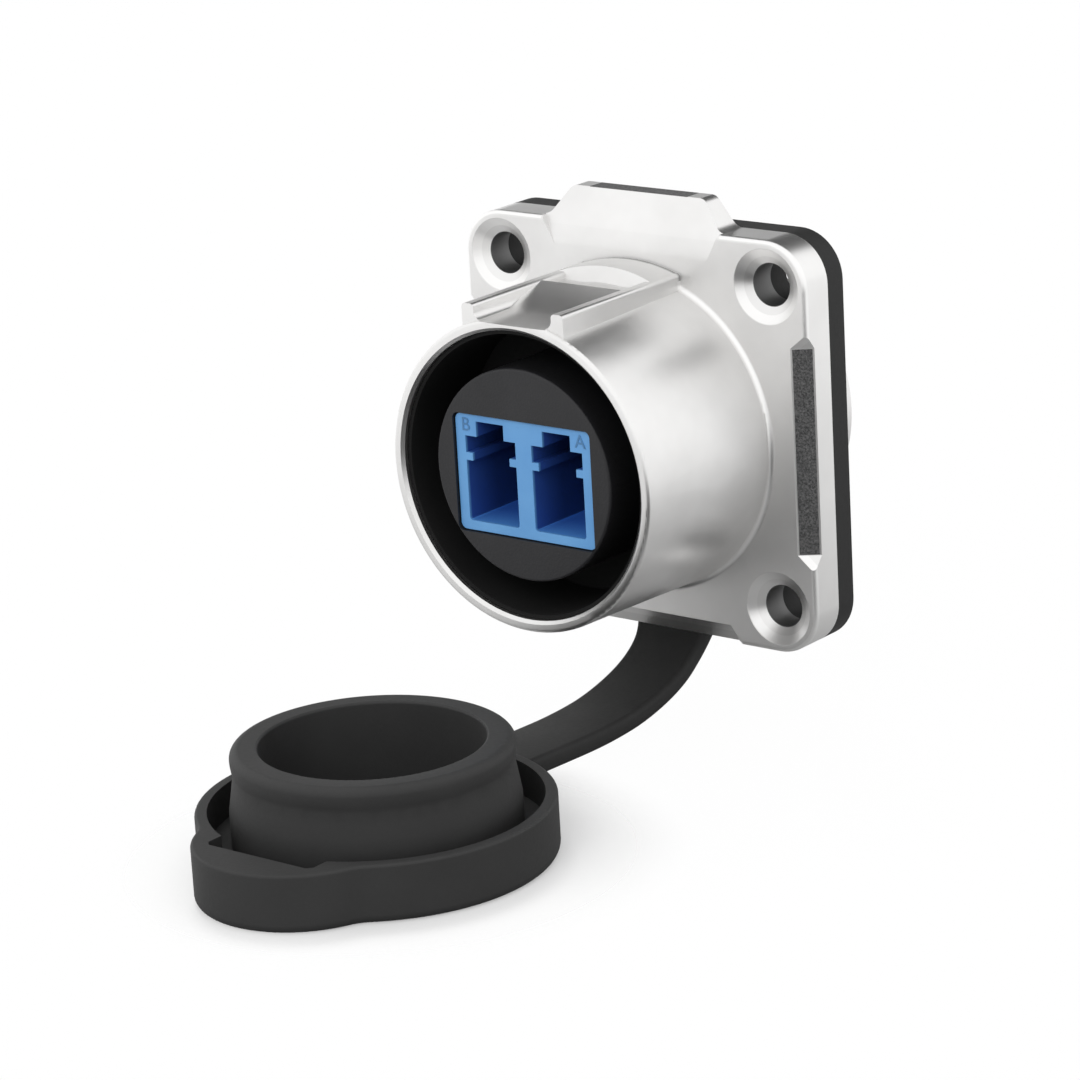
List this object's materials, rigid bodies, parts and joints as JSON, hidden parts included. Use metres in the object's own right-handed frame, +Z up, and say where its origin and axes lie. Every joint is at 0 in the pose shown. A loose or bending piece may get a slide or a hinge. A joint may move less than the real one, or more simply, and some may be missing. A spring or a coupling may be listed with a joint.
{
  "type": "panel-mount waterproof fibre connector",
  "caption": "Square-flange metal receptacle with a round mating barrel, latch saddle, duplex fibre adapter, panel gasket and a tethered rubber dust cap",
  "frame": {"origin": "on the barrel axis at the panel plane, which is the back face of the gasket", "axes": "-Y is the mating side, +Y goes through the panel, +Z is up with the tab and the latch saddle, +X is to the right seen from the mating side"},
  "size_m": [0.032, 0.0631, 0.0421],
  "materials": {
    "nickel": "satin nickel plate on a die casting",
    "rubber": "matte moulded rubber",
    "seal_rubber": "smooth black rubber",
    "black_plastic": "fine matte moulding",
    "blue_plastic": "satin moulding",
    "sleeve_ceramic": "polished ceramic",
    "spring_steel": "plain spring steel"
  },
  "bodies": {
    "receptacle": {"shell": "nickel", "panel_gasket": "rubber", "mating_seal": "seal_rubber", "insert_core": "black_plastic", "insert_oring": "seal_rubber", "adapter_front": "blue_plastic", "adapter_rear": "blue_plastic", "split_sleeve_a": "sleeve_ceramic", "split_sleeve_b": "sleeve_ceramic", "rear_retainer": "black_plastic", "retaining_ring": "spring_steel"},
    "strap": {"cap_strap": "rubber"},
    "cap": {"dust_cap": "rubber"}
  },
  "joints": [
    {"name": "cap_push", "type": "slide", "parent": "receptacle", "child": "strap", "axis": [0, 1, 0], "range_m": [0, 0.00795], "stiffness_N_per_m": 8, "deforming": ["cap_strap"]},
    {"name": "cap_swing", "type": "hinge", "parent": "strap", "child": "cap", "pos_m": [0, -0.02195, -0.01615], "axis": [-1, 0, 0], "range_deg": [-60, 90], "stiffness_Nm_per_rad": 0.001, "springref_deg": 21.2, "deforming": ["cap_strap"]}
  ]
}
